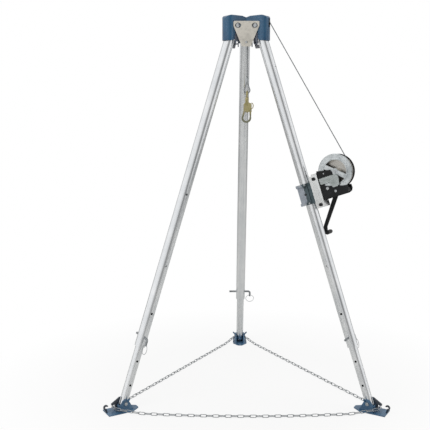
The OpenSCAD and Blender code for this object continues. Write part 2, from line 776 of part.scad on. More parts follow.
module clamp_ends() for (z = [clamp_low, clamp_low + clamp_len - lip_len]) translate([0, 0, z]) children();
module clamp_bolt_places() clamp_ends() for (y = [-clamp_bolt_y, clamp_bolt_y])
    translate([0, y, lip_len / 2]) children();
module x_rod(r, a, b) translate([a, 0, 0]) rotate([0, 90, 0]) cylinder(r = r, h = b - a);
module x_hex(r, a, b) translate([a, 0, 0]) rotate([0, 90, 0]) cylinder(r = r, h = b - a, $fn = 6);

// Room in the saddle and the clamp: the tube, the leg's height hole and the clamp bolts
module clamp_cuts() {
    translate([0, 0, clamp_low - 1]) cylinder(r = upper_r + fit_gap, h = clamp_len + 2);
    translate([0, 0, -pin_s + upper_hole_steps[2] * hole_pitch]) y_rod(pin_r + 1, -clamp_half, clamp_half);
    clamp_bolt_places() x_rod(clamp_bolt_d / 2 + fit_gap, -30, 30);
}

module saddle() color("slategray") at_leg(1) difference() {
    union() {
        translate([clamp_split, -clamp_side, clamp_low])
            cube([saddle_step - clamp_split, 2 * clamp_side, clamp_len]);
        translate([saddle_step - 1, -channel_half, clamp_low])
            cube([saddle_n - saddle_step + 1, 2 * channel_half, clamp_len]);
        clamp_ends() translate([clamp_split, -clamp_half, 0]) cube([clamp_ear_t, 2 * clamp_half, lip_len]);
    }
    clamp_cuts();
}

module clamp() color("slategray") at_leg(1) difference() {
    union() {
        translate([-clamp_deep, -clamp_side, clamp_low])
            cube([clamp_deep - clamp_split, 2 * clamp_side, clamp_len]);
        clamp_ends() {
            translate([-clamp_deep - 2 * lip_out, -clamp_side - lip_out, 0])
                cube([clamp_deep + 2 * lip_out - clamp_split, 2 * (clamp_side + lip_out), lip_len]);
            translate([-clamp_split - clamp_ear_t, -clamp_half, 0])
                cube([clamp_ear_t, 2 * clamp_half, lip_len]);
        }
    }
    clamp_cuts();
}

module clamp_bolts() color(zinc) at_leg(1) clamp_bolt_places() {
    ear = clamp_split + clamp_ear_t;
    x_rod(clamp_bolt_d / 2, -ear - 1, ear + 8);
    x_hex(clamp_bolt_d * 0.9, -ear - 6.5, -ear);
    x_hex(clamp_bolt_d * 0.9, ear, ear + 6.5);
}

module mount_channel() color("whitesmoke") at_leg(1)
    translate([saddle_n, 0, -bracket_s - bracket_len]) difference() {
    translate([0, -channel_half, 0]) cube([channel_h, 2 * channel_half, bracket_len]);
    translate([channel_wall, channel_wall - channel_half, -1])
        cube([channel_h, 2 * (channel_half - channel_wall), bracket_len + 2]);
    translate([-saddle_n, 0, bracket_s + bracket_len]) mount_bolt_places()
        y_rod(mount_bolt_r + fit_gap, -60, 60);
}

mount_bolt_r = 6;
mount_bolt_n = base_in - base_flange_in / 2;
module mount_bolt_places() for (s = [bracket_s + 18, bracket_s + bracket_len - 16])
    translate([mount_bolt_n, 0, -s]) children();

// Winch base: two skins on a narrower core, with flanges over the channel's sides
module winch_base() color(zinc) at_leg(1) difference() {
    low = -bracket_s - bracket_len;
    long = bracket_len + 8;
    union() {
        for (x = [base_in, base_in + base_t - base_skin])
            translate([x, -base_half, low]) cube([base_skin, 2 * base_half, long]);
        translate([base_in + 1, 5 - base_half, low]) cube([base_t - 2, 2 * base_half - 10, long]);
        for (y = [-base_half, base_half - channel_wall])
            translate([base_in - base_flange_in, y, low])
                cube([base_flange_in + base_skin, channel_wall, long]);
    }
    mount_bolt_places() y_rod(mount_bolt_r + fit_gap, -60, 60);
    frame_bolt_places() x_rod(frame_bolt_r + fit_gap, base_in - 1, frame_in + 1);
}

module mount_bolts() color(black) at_leg(1) mount_bolt_places() {
    y_rod(mount_bolt_r, -base_half - 1, base_half + 10);
    y_hex(mount_bolt_r + 4, -base_half - 7, -base_half);
    y_hex(mount_bolt_r + 4, base_half, base_half + 7);
}

// Winch frame: base web, near and far cheeks, cross member and crank bearing
frame_bolt_r = 4;
frame_web_t = 3;
module frame_bolt_places() for (y = [-12, 12], s = [bracket_s + 42, bracket_s + 112])
    translate([0, y, -s]) children();

frame_top = 29 - drum_s;
frame_low = frame_top - 157;
cheek_outline = [
    [frame_in, frame_top], [drum_n - 25, frame_top - 12], [drum_n - 16, frame_top - 32],
    [drum_n - 24, frame_top - 44], [drum_n - 74, frame_top - 52], [drum_n - 74, frame_top - 84],
    [drum_n - 60, frame_top - 90], [drum_n + 18, frame_top - 109], [drum_n + 48, frame_top - 113],
    [drum_n + 49, frame_top - 134], [drum_n + 42, frame_top - 148], [drum_n + 25, frame_top - 155],
    [frame_in, frame_low]];

module winch_frame() color(black) at_leg(1) difference() {
    union() {
        xz_plate(near_cheek - cheek_t, near_cheek) polygon(cheek_outline);
        xz_plate(far_cheek, far_cheek + cheek_t) polygon(cheek_outline);
        translate([drum_n, 0, -drum_s]) y_rod(disc_r, far_cheek, far_cheek + cheek_t);
        translate([frame_in, near_cheek - 1, frame_low])
            cube([frame_web_t, far_cheek - near_cheek + 2, frame_top - frame_low]);
        translate([drum_n + 24, near_cheek - 1, frame_top - 147])
            cube([17, far_cheek - near_cheek + 2, 20]);
        translate([shaft_x, 0, shaft_z])
            y_rod(shaft_boss_r, far_cheek, far_cheek + cheek_t + shaft_boss_len);
    }
    translate([drum_n, 0, -drum_s]) y_rod(drum_axle_r + fit_gap, far_cheek - 1, far_cheek + cheek_t + 1);
    translate([shaft_x, 0, shaft_z])
        y_rod(shaft_r + run_gap, far_cheek - 1, far_cheek + cheek_t + shaft_boss_len + 1);
    for (b = cheek_bolts) cheek_bolt_place(b)
        y_rod(b[2] * 0.55 + fit_gap, near_cheek - cheek_t - 1, near_cheek + 1);
    keeper_bolt_place() y_rod(keeper_bolt_r + fit_gap, near_cheek - cheek_t - 1, near_cheek + 1);
    frame_bolt_places() x_rod(frame_bolt_r + fit_gap, frame_in - 1, frame_in + frame_web_t + 1);
}

// Bolts in the near cheek: place from the drum axis, head radius and head height
cheek_bolts = [[-60, -73, 8, 6], [-22, -98, 6.5, 3], [-60, 7, 3.5, 3]];
module cheek_bolt_place(b) translate([drum_n + b[0], 0, -drum_s + b[1]]) children();

module frame_bolts() color(zinc) at_leg(1) {
    frame_bolt_places() {
        x_hex(frame_bolt_r * 1.9, base_in - 6.5, base_in);
        x_rod(frame_bolt_r, base_in - 1, frame_in + frame_web_t + 1);
    }
    for (b = cheek_bolts) cheek_bolt_place(b) {
        y_rod(b[2], near_cheek - cheek_t - b[3], near_cheek - cheek_t);
        y_rod(b[2] * 0.55, near_cheek - cheek_t - 1, near_cheek + 1.5);
    }
    keeper_bolt_place() y_rod(keeper_bolt_r, keeper_y, near_cheek);
}

// Keeper plate on the near cheek
keeper_t = 6;
keeper_y = near_cheek - cheek_t - keeper_t;
keeper_bolt_r = 5;
module keeper_bolt_place() translate([frame_in + 16, 0, -drum_s - 30]) children();
module keeper_bar() color("darkgray") at_leg(1) difference() {
    outline = concat(
        [[frame_in + 5, -drum_s - 14]], arc([drum_n - 10, -drum_s - 36], 24, 90, 0, 8),
        [[drum_n + 8, -drum_s - 68], [drum_n - 3, -drum_s - 76], [drum_n - 30, -drum_s - 76],
         [drum_n - 33, -drum_s - 56], [drum_n - 42, -drum_s - 46], [frame_in + 7, -drum_s - 46]]);
    xz_plate(keeper_y, keeper_y + keeper_t) polygon(outline);
    keeper_bolt_place() y_rod(keeper_bolt_r + fit_gap, keeper_y - 1, keeper_y + keeper_t + 1);
}

module drum_axle() color(zinc) at_drum() {
    y_rod(drum_axle_r, near_face - move_gap, far_cheek + cheek_t + 2);
    y_hex(drum_axle_r + 4, far_cheek + cheek_t, far_cheek + cheek_t + 8);
}

// Drum: barrel, flanges with rolled rims, hub, and a web across the near flange
module drum_turned() rotate([-90, 0, 0]) rotate_extrude() {
    bore = drum_axle_r + run_gap;
    translate([window_r, near_face]) square([flange_r - window_r, flange_t]);
    translate([window_r, near_face]) square([barrel_wall, drum_w + 2 * flange_t]);
    translate([bore, far_face - flange_t]) square([far_flange_r - bore, flange_t]);
    translate([bore, near_face]) square([hub_r - bore, drum_w + 2 * flange_t]);
}

module drum_bead(at, y, r) rotate([-90, 0, 0]) rotate_extrude() translate([at, y]) circle(r = r);

module drum() color(zinc) at_drum() difference() {
    union() {
        drum_turned();
        drum_bead(flange_r, near_face + flange_t / 2, rim_r);
        drum_bead(far_flange_r, far_face - flange_t / 2, rim_r - 0.2);
        drum_bead(window_r + 5, near_face + 0.5, 2.2);
        rotate([0, web_turn, 0]) difference() {
            translate([-window_r - 1, near_face + web_back, -web_w / 2])
                cube([2 * window_r + 2, flange_t, web_w]);
            y_rod(hub_r - 1, near_face - 1, near_face + flange_t + 2);
        }
    }
    rotate([0, web_turn, 0]) for (x = [-gear_bolt_at, gear_bolt_at]) translate([x, 0, 0])
        y_rod(gear_bolt_r, far_face - flange_t - 1, far_face + 1);
}

web_turn = 39;
web_back = 0.6;
gear_bolt_at = 28;
gear_bolt_r = 3;

// Involute gear teeth
function involute(rb, t) = let (d = t * 180 / PI) [rb * (cos(d) + t * sin(d)), rb * (sin(d) - t * cos(d))];
function flank(teeth, i) =
    let (rp = gear_module * teeth / 2, rb = rp * cos(20), tip = rp + 0.75 * gear_module,
         t = sqrt(tip * tip / (rb * rb) - 1) * i / 5, p = involute(rb, t),
         lean = 90 / teeth - gear_play / rp * 90 / PI + tan(20) * 180 / PI - 20)
    [norm(p), lean - atan2(p[1], p[0])];
gear_play = 0.5;
module gear_2d(teeth) {
    rp = gear_module * teeth / 2;
    root = rp - 1.15 * gear_module;
    low = flank(teeth, 0)[1];
    tooth = concat(
        [[root - 0.5, -low - 0.6]], [for (i = [0:5]) [flank(teeth, i)[0], -flank(teeth, i)[1]]],
        [for (i = [5:-1:0]) flank(teeth, i)], [[root - 0.5, low + 0.6]]);
    circle(r = root);
    for (n = [0:teeth - 1]) rotate(360 * n / teeth)
        polygon([for (p = tooth) [p[0] * cos(p[1]), p[0] * sin(p[1])]]);
}

shaft_from_drum = -90 - shaft_turn;
module drum_gear() color("dimgray") at_drum() difference() {
    translate([0, gear_y + gear_w, 0]) rotate([90, 0, 0]) linear_extrude(gear_w)
        rotate(shaft_from_drum) gear_2d(gear_teeth);
    y_rod(drum_axle_r + run_gap, gear_y - 1, gear_y + gear_w + 1);
    rotate([0, web_turn, 0]) for (x = [-gear_bolt_at, gear_bolt_at]) translate([x, 0, 0])
        y_rod(gear_bolt_r, gear_y - 1, gear_y + gear_w + 1);
}

// Line on the drum: outer layer of turns over the rest of the line
function turn_point(a) = [
    wind_r * cos(line_normal - a), wind_half - wind_pitch * a / 360, wind_r * sin(line_normal - a)
];
wind_step = 15;
wind_steps = (wind_turns - 0.5) * 360 / wind_step;
wind_turned = [for (i = [0:wind_steps]) turn_point(i * wind_step)];
wind_last = wind_turned[wind_steps];
wind_route = concat(
    [wind_turned[0] - line_d * line_way], wind_turned,
    [wind_last + line_d * unit(cross([0, 1, 0], wind_last))]);
wind_gap = min([for (i = [0:wind_steps - 24])
    norm(turn_point(i * wind_step) - turn_point((i + 24) * wind_step))]) - line_d;
echo(least_gap_between_turns = wind_gap);  // wire_winding

module wire_winding() color("darkgray") at_drum() {
    tube(wind_route, line_r, 6, [0, 1, 0]);
    rotate([-90, 0, 0]) rotate_extrude() translate([barrel_r + fit_gap, move_gap - drum_w / 2])
        square([wind_r - line_r - move_gap - barrel_r - fit_gap, drum_w - 2 * move_gap]);
}

// Crank
module at_shaft() at_leg(1) translate([shaft_x, 0, shaft_z]) children();
module crank_shaft() color("dimgray") at_shaft() {
    y_rod(shaft_r, gear_y + 1, crank_y + crank_t + 6);
    translate([0, gear_y + gear_w, 0]) rotate([90, 0, 0]) linear_extrude(gear_w - 1)
        rotate(shaft_from_drum + 180 + 180 / pinion_teeth) gear_2d(pinion_teeth);
}

// Crank bar: straight from the shaft, bent back to the grip near its end
module crank_arm() color(black) at_shaft() difference() {
    half = crank_w / 2;
    tail = crank_y + crank_t + grip_len + 2;
    outline = concat(
        arc([0, 0], half + 3, -20, 200, 14),
        [[-crank_kink - half + 2, -0.915 * crank_len], [-crank_kink - 4, -0.96 * crank_len]],
        arc([0, -crank_len], half - 2, 200, 340, 10),
        [[half - crank_kink, -0.89 * crank_len]]);
    union() {
        rotate([0, crank_turn, 0]) xz_plate(crank_y, crank_y + crank_t) polygon(outline);
        translate([crank_x, 0, crank_z]) {
            y_rod(grip_pin_r, crank_y + crank_t - 1, tail);
            y_rod(grip_pin_r + 4, tail, tail + 4);
        }
    }
    y_rod(shaft_r + fit_gap, crank_y - 1, crank_y + crank_t + 1);
}

module crank_grip() color(black) at_shaft() translate([crank_x, crank_y + crank_t, crank_z]) difference() {
    rotate([-90, 0, 0]) rotate_extrude() polygon([
        [grip_pin_r + run_gap, move_gap], [grip_d / 2 - 2, move_gap], [grip_d / 2, 3],
        [grip_d / 2, grip_len - 4],
        [grip_d / 2 - 3, grip_len + 2 - move_gap], [grip_pin_r + run_gap, grip_len + 2 - move_gap]]);
}

module line_to_winch() color("darkgray") at_leg(1)
    tube([for (i = [0:12]) line_from + (line_stop - line_from) * i / 12], line_r, 8, [0, 1, 0]);

// Hanging line, its eye, the swivel and the snap hook
module line_drop() color("darkgray") at_hook()
    tube([for (i = [0:12]) [0, 0, drop_top + (drop_low - drop_top) * i / 12]], line_r, 8, [0, 1, 0]);

module line_eye() color(zinc) at_hook() {
    ferrule_h = ferrule_top - thimble_h - thimble_big;
    translate([0, 0, thimble_h]) rotate([90, 0, 0]) rotate_extrude()
        translate([thimble_big, 0]) circle(r = thimble_bar);
    translate([0, 0, thimble_h + thimble_big]) cylinder(r = ferrule_r, h = ferrule_h);
}

module swivel_eye() color(gold) at_hook() {
    translate([0, 0, eye_h]) rotate([90, 0, 90]) rotate_extrude()
        translate([ring_big, 0]) circle(r = ring_bar);
    translate([0, 0, bridge_h - 2]) cylinder(d = stem_d, h = eye_h - ring_big - bridge_h + 2);
    translate([0, 0, neck_top + move_gap]) cylinder(r = neck_r - 1, h = 4);
    translate([0, 0, bridge_h - move_gap - 4]) cylinder(r = stem_d / 2 + 1.8, h = 4);
}

// Loop of the lock lever on the hook's right side
module lever_loop() xz_plate(-2.5, 2.5) translate([26, bridge_h + 32]) difference() {
    polygon([for (a = [0:15:345]) [11 * cos(a), 17 * sin(a)]]);
    polygon([for (a = [0:15:345]) [6.5 * cos(a), 12.5 * sin(a)]]);
}

// Snap hook: solid body, spine on the left, bowl and nose
module snap_hook() color(gold) at_hook() difference() {
    outline = concat(
        [[bowl_x + hook_out, nose_h], [bowl_x + hook_out, bowl_h]],
        arc([bowl_x, bowl_h], hook_out, -8, -172, 16),
        [[bowl_x - hook_out, bowl_h], [-19, bridge_h + 4], [-19, bridge_top - 11], [-11, bridge_top],
         [14, bridge_top], [26, bridge_top - 10], [26, bridge_h - 2], [10, bridge_h - 2], [9, bridge_h],
         [-10, bridge_h], [bowl_x - bowl_r, bowl_h]],
        arc([bowl_x, bowl_h], bowl_r, 188, 352, 12),
        [[bowl_x + bowl_r, bowl_h], [bowl_x + bowl_r, nose_h]]);
    slot_h = gate_pivot_h - bridge_h + 16.5;
    union() {
        xz_plate(-hook_t / 2, hook_t / 2) polygon(outline);
        translate([0, 0, bridge_top - 6]) cylinder(r = neck_r, h = neck_top - bridge_top + 6);
        lever_loop();
    }
    translate([0, 0, bridge_h - 1]) cylinder(r = stem_d / 2 + run_gap, h = neck_top - bridge_h + 2);
    translate([8, -gate_t / 2 - move_gap, bridge_h - 10]) cube([40, gate_t + 2 * move_gap, slot_h]);
    translate([gate_x, 0, gate_pivot_h]) y_rod(gate_pin_d / 2 + fit_gap, -hook_t, hook_t);
}

module gate_pin() color(zinc) at_hook() translate([gate_x, 0, gate_pivot_h])
    y_rod(gate_pin_d / 2, -hook_t / 2 - 1.5, hook_t / 2 + 1.5);

module hook_gate() color(gold) at_hook() difference() {
    gate_low = nose_h + move_gap;
    outline = concat(
        arc([gate_x, gate_pivot_h], 5, 0, 180, 8),
        [[gate_x - 5, gate_low + 12], [gate_x - 4, gate_low], [gate_x + 4, gate_low],
         [gate_x + 5, gate_low + 12]]);
    xz_plate(-gate_t / 2, gate_t / 2) polygon(outline);
    translate([gate_x, 0, gate_pivot_h]) y_rod(gate_pin_d / 2 + run_gap, -hook_t, hook_t);
}

head_shell();
keystone(0);  // keystone_front
keystone(1);  // keystone_right
keystone(2);  // keystone_left
anchor_eyes();
hinge_bolts();
hinge_nuts();
outer_sheave();
outer_sheave_axle();
centre_sheave();
centre_sheave_axle();
line_over_head();
for (k = [0:2]) {
    upper_leg(k);
    lower_leg(k);
    leg_bush(k);
    top_plug(k);
    foot_bolt(k);
    foot(k);
    lock_pin(k);
    chain(k);
}
saddle();
clamp();
clamp_bolts();
mount_channel();
winch_base();
mount_bolts();
winch_frame();
keeper_bar();
frame_bolts();
drum_axle();
drum();
drum_gear();
wire_winding();
crank_shaft();
crank_arm();
crank_grip();
line_to_winch();
line_drop();
line_eye();
swivel_eye();
snap_hook();
gate_pin();
hook_gate();
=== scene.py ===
"""Looks of the rescue tripod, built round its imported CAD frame. Metres, +Z up, front towards -Y."""

import json
import math

import bmesh
import bpy
from mathutils import Matrix, Vector


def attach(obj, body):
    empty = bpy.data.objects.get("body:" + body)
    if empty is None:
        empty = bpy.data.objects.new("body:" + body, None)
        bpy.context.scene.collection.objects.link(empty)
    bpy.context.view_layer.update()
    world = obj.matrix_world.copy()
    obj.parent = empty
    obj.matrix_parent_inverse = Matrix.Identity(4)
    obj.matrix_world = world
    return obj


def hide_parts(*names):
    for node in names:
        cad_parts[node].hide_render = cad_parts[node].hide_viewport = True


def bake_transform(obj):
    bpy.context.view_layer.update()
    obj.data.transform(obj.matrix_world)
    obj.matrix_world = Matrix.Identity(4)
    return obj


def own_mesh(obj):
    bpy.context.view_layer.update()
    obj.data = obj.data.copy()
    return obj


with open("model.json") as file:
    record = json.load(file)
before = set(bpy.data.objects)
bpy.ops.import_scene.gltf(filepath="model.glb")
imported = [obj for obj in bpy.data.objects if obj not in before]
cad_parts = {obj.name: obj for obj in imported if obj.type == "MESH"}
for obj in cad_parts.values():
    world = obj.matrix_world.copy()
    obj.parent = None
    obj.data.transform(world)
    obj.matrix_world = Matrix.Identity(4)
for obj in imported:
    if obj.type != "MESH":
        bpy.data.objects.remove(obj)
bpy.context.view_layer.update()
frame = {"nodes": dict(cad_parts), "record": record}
nodes = frame["nodes"]
MM = 0.001

# Sizes repeated from the part's source, in millimetres and radians
LEG_LEAN = math.radians(18.8)
HINGE_R, LEG_LEN, PIVOT_H = 80.0, 2096.0, 46.0
HINGE_H = PIVOT_H + LEG_LEN * math.cos(LEG_LEAN)
FOOT_R = HINGE_R + LEG_LEN * math.sin(LEG_LEAN)
ARM = {"left": math.radians(210), "right": math.radians(330), "back": math.radians(90)}
LINE_D = 5.0
FIN_T, FOOT_T = 9.0, 6.0
SHEAVE_OUT, SHEAVE_UP, SHEAVE_PATH = 128.0, 13.0, 16.0
SHEAVE_H = HINGE_H + SHEAVE_UP
DROP_R = 10.0
DRUM_S, DRUM_N, DRUM_W = 870.0, 188.0, 30.0
WIND_R, WIND_TURNS, WIND_PITCH = 80.0, 4, 6.2
FERRULE_TOP, THIMBLE_H, BRIDGE_H = 1758.6, 1690.6, 1574.0
LINK_W, LINK_WIRE, SPAN_LINKS = 9.0, 4.0, 43
CHAIN_HOLD_X, CHAIN_HOLD, CHAIN_BOW, CHAIN_EASE = 57.104, 24.0, 46.0, 170.0
CHAIN_TURN, LINK_SEAT, LINK_SLACK, END_SLACK = math.radians(22), LINK_W / 2 - 0.3, 0.68, 0.25
HOME_SPAN = math.sqrt(3) * (FOOT_R + CHAIN_HOLD_X)
LINK_LEN = (HOME_SPAN + LINK_W / 2 + 2 * (END_SLACK - LINK_SEAT) * math.cos(CHAIN_TURN)
            + (SPAN_LINKS - 2) * LINK_SLACK) / (SPAN_LINKS - 1.5 + 2 * math.cos(CHAIN_TURN))
CHAIN_LOW = (LINK_W + 2 * LINK_WIRE) / 2 + 0.4

# Nodes whose sharp edges are eased in the looks, with the width in millimetres
EASED = {
    "head_shell": 1.6, "keystone_front": 0.7, "keystone_left": 0.7, "keystone_right": 0.7,
    "anchor_eyes": 0.8, "foot_left": 0.9, "foot_right": 0.9, "foot_back": 0.9, "winch_frame": 0.7,
    "keeper_bar": 1.2, "crank_arm": 1.5, "saddle": 1.5, "clamp": 1.5, "mount_channel": 0.8,
    "winch_base": 0.8, "snap_hook": 1.6, "hook_gate": 1.4,
}
# Edges turned by more than this, in degrees, are eased
SHARP = 40


def arm_frame(side):
    """Matrix from a side's arm frame (x outward, y along its hinge, z up) to the row frame."""
    return Matrix.Rotation(ARM[side], 4, "Z")


def leg_frame(side):
    """Matrix from a leg's frame (x outward, y along its hinge, z up the leg) to the row frame."""
    place = Matrix.Translation((HINGE_R * MM, 0, HINGE_H * MM))
    return arm_frame(side) @ place @ Matrix.Rotation(-LEG_LEAN, 4, "Y")


# Camera, fitted to the photograph


def add_camera():
    data = bpy.data.cameras.new("camera")
    data.lens = 60.37
    data.sensor_width = 36.0
    camera = bpy.data.objects.new("camera", data)
    camera.location = (-0.156, -4.032, 1.596)
    camera.rotation_euler = (math.radians(81.536), 0.0, math.radians(0.166))
    bpy.context.collection.objects.link(camera)
    bpy.context.scene.camera = camera


add_camera()

# Materials


def linear(hex_colour):
    """sRGB hex to linear RGBA."""
    parts = [int(hex_colour[i : i + 2], 16) / 255 for i in (1, 3, 5)]
    return [c / 12.92 if c <= 0.04045 else ((c + 0.055) / 1.055) ** 2.4 for c in parts] + [1.0]


def add_node(tree, kind, settings=None, links=None):
    """A shader node with values for its properties or inputs, and links from output sockets."""
    n = tree.nodes.new(kind)
    for key, value in (settings or {}).items():
        if isinstance(key, str) and hasattr(n, key):
            setattr(n, key, value)
        else:
            n.inputs[key].default_value = value
    for key, socket in (links or {}).items():
        tree.links.new(socket, n.inputs[key])
    return n


def new_material(name, hex_colour, metallic, roughness, **sockets):
    """A material with one shader; returns it with its tree and shader."""
    mat = bpy.data.materials.new(name)
    mat.use_nodes = True
    tree = mat.node_tree
    shader = tree.nodes["Principled BSDF"]
    shader.inputs["Base Color"].default_value = linear(hex_colour)
    shader.inputs["Metallic"].default_value = metallic
    shader.inputs["Roughness"].default_value = roughness
    for key, value in sockets.items():
        shader.inputs[key.replace("_", " ")].default_value = value
    return mat, tree, shader


def per_mm(size):
    """Texture scale that repeats once in a real size in millimetres."""
    return 1000.0 / size


def object_place(tree):
    """Place on a piece, in the row frame at rest."""
    return add_node(tree, "ShaderNodeTexCoord").outputs["Object"]


def turned(tree, place, turn):
    """Place in a frame that is turned in the row frame."""
    settings = {"vector_type": "TEXTURE", "Rotation": turn}
    return add_node(tree, "ShaderNodeMapping", settings, {"Vector": place}).outputs["Vector"]


def split(tree, place):
    """Outputs X, Y and Z of a place."""
    return add_node(tree, "ShaderNodeSeparateXYZ", links={"Vector": place}).outputs


def maths(tree, operation, settings=None, links=None):
    """Value of a maths node."""
    n = add_node(tree, "ShaderNodeMath", {"operation": operation, **(settings or {})}, links)
    return n.outputs["Value"]


def span(tree, value, low, high):
    """A 0 to 1 value mapped to a range."""
    n = add_node(tree, "ShaderNodeMapRange", {"To Min": low, "To Max": high}, {"Value": value})
    return n.outputs["Result"]


def noise(tree, place, size, detail, roughness=0.5):
    """Noise whose cells have a real size in millimetres."""
    settings = {"Scale": per_mm(size), "Detail": detail, "Roughness": roughness}
    return add_node(tree, "ShaderNodeTexNoise", settings, {"Vector": place}).outputs["Fac"]


def bump(tree, height, strength, depth):
    """Normal of a bump with a depth in millimetres."""
    settings = {"Strength": strength, "Distance": depth * MM}
    return add_node(tree, "ShaderNodeBump", settings, {"Height": height}).outputs["Normal"]


def ramp(tree, fac, stops):
    """Colour of a ramp through (position, linear RGBA) stops."""
    n = add_node(tree, "ShaderNodeValToRGB", links={"Fac": fac})
    while len(n.color_ramp.elements) < len(stops):
        n.color_ramp.elements.new(0.5)
    for element, (at, colour) in zip(n.color_ramp.elements, stops):
        element.position = at
        element.color = colour
    return n.outputs["Color"]


def tints(tree, fac, *stops):
    """Colour of a ramp through (position, hex colour) stops."""
    return ramp(tree, fac, [(at, linear(colour)) for at, colour in stops])


def laid_over(tree, tint, share, hex_colour):
    """A tint with a second colour laid over it by a share."""
    n = add_node(tree, "ShaderNodeMix", {"data_type": "RGBA", 7: linear(hex_colour)},
                 {"Factor": share, 6: tint})
    return n.outputs[2]


def wire(tree, shader, **outputs):
    """Links outputs to a shader's inputs, named with underscores for spaces."""
    for key, socket in outputs.items():
        tree.links.new(socket, shader.inputs[key.replace("_", " ")])


def blue_enamel(name, dark, pale, turn=None):
    """Sprayed gloss enamel on cast and cut steel: deep blue, wet-looking, with faint orange peel.

    With turn, a foot's frame, the fin and the claw in its middle plane are painted nearly black as
    shade.
    """
    mat, tree, shader = new_material(name, pale, 0.0, 0.3, Coat_Weight=0.4, Coat_Roughness=0.14)
    place = object_place(tree)
    cloud = noise(tree, place, 70, 3.0)
    tint = tints(tree, cloud, (0.3, dark), (0.7, pale))
    if turn is not None:
        own = split(tree, turned(tree, place, turn))
        # Just past the fin's faces, and above the foot's plate
        fin_side, plate_top = FIN_T / 2 + 0.2, FOOT_T + 0.3
        middle = maths(tree, "COMPARE", {1: 0.0, 2: fin_side * MM}, {0: own["Y"]})
        above = maths(tree, "GREATER_THAN", {1: plate_top * MM}, {0: own["Z"]})
        fin = maths(tree, "MULTIPLY", links={0: middle, 1: above})
        # Painted shade: the fin and the claw get a near-black blue for the shade they stand in
        tint = laid_over(tree, tint, fin, "#252e3a")
    peel = noise(tree, place, 4, 2.0)
    wire(tree, shader, Normal=bump(tree, peel, 0.1, 0.4), Base_Color=tint,
         Roughness=span(tree, cloud, 0.24, 0.38))
    return mat


def drawn_aluminium(name, turn):
    """Drawn aluminium tube: satin, with long faint die lines and handling scuffs along it."""
    mat, tree, shader = new_material(name, "#dfe1e3", 1.0, 0.28)
    place = object_place(tree)
    # Long along the tube, about 80 times their width
    stretch = add_node(tree, "ShaderNodeMapping", {"Scale": (1.0, 1.0, 0.012)},
                       {"Vector": turned(tree, place, turn)})
    # Die lines are far under a millimetre; drawn 3 mm wide so that they show
    lines = noise(tree, stretch.outputs["Vector"], 3, 4.0)
    scuff = noise(tree, place, 120, 6.0, 0.65)
    both = maths(tree, "MULTIPLY", links={0: lines, 1: scuff})
    wire(tree, shader, Normal=bump(tree, lines, 0.05, 0.3),
         Base_Color=tints(tree, both, (0.12, "#dadde0"), (0.4, "#f4f5f6")),
         Roughness=span(tree, both, 0.19, 0.33))
    return mat


def plated_steel(name, dark, pale, rough_low, rough_high, cell, inside=None):
    """Plated or brushed metal: grey with a faint mottle of a cell size in millimetres.

    With inside, a depth in millimetres in the right leg's frame, the steel behind it is painted a
    flat warm grey as shade.
    """
    mat, tree, shader = new_material(name, pale, 1.0, 0.35)
    place = object_place(tree)
    mottle = add_node(tree, "ShaderNodeTexVoronoi", {"Scale": per_mm(cell)}, {"Vector": place})
    cloud = noise(tree, place, cell * 3, 4.0)
    both = maths(tree, "MULTIPLY_ADD", {1: 0.35}, {0: mottle.outputs["Distance"], 2: cloud})
    tint = tints(tree, both, (0.35, dark), (0.8, pale))
    if inside is not None:
        own = split(tree, turned(tree, place, leg_frame("right").to_euler()))
        behind = maths(tree, "GREATER_THAN", {1: inside * MM}, {0: own["Y"]})
        # Painted shade: the drum's inside, behind its near flange
        tint = laid_over(tree, tint, behind, "#c3c0ba")
    wire(tree, shader, Base_Color=tint, Roughness=span(tree, cloud, rough_low, rough_high))
    return mat


def black_powder_coat(name, colour, rough):
    """Baked black powder coat: near black, semi-matt, with a fine pebble."""
    mat, tree, shader = new_material(name, colour, 0.0, rough, Specular_IOR_Level=0.32)
    place = object_place(tree)
    # The pebble is about 0.4 mm; drawn at 1.2 mm so that it shows
    pebble = noise(tree, place, 1.2, 2.0)
    wear = noise(tree, place, 45, 5.0)
    wire(tree, shader, Normal=bump(tree, pebble, 0.2, 0.3),
         Base_Color=tints(tree, wear, (0.35, colour), (0.75, "#191b1e")),
         Roughness=span(tree, wear, rough - 0.08, rough + 0.1))
    return mat


def cast_grey(name, dark, pale, metallic):
    """Sand-cast aluminium, tumbled and sealed: dull grey with a sandy grain."""
    mat, tree, shader = new_material(name, pale, metallic, 0.5)
    place = object_place(tree)
    grain = noise(tree, place, 2, 3.0)
    cloud = noise(tree, place, 30, 3.0)
    wire(tree, shader, Normal=bump(tree, grain, 0.1, 0.3),
         Base_Color=tints(tree, cloud, (0.3, dark), (0.7, pale)),
         Roughness=span(tree, grain, 0.4, 0.58))
    return mat


def wire_rope():
    """Galvanised wire rope: strands laid round a core, dull silver with dark grooves."""
    mat, tree, shader = new_material("galvanised_wire_rope", "#9fa3a6", 1.0, 0.42)
    uv = add_node(tree, "ShaderNodeUVMap", {"uv_map": "lay"})
    along = split(tree, uv.outputs["UV"])
    # U runs once round and V along in millimetres, the unit of lay_length
    strands, lay_length = 6.0, 34.0
    around = maths(tree, "MULTIPLY", {1: strands}, {0: along["X"]})
    lay = maths(tree, "MULTIPLY_ADD", {1: strands / lay_length}, {0: along["Y"], 2: around})
    strand = maths(tree, "PINGPONG", {1: 0.5}, {0: lay})
    wire(tree, shader, Normal=bump(tree, strand, 0.8, 0.6),
         Base_Color=tints(tree, strand, (0.04, "#4c4f52"), (0.3, "#a9adb0")))
    return mat


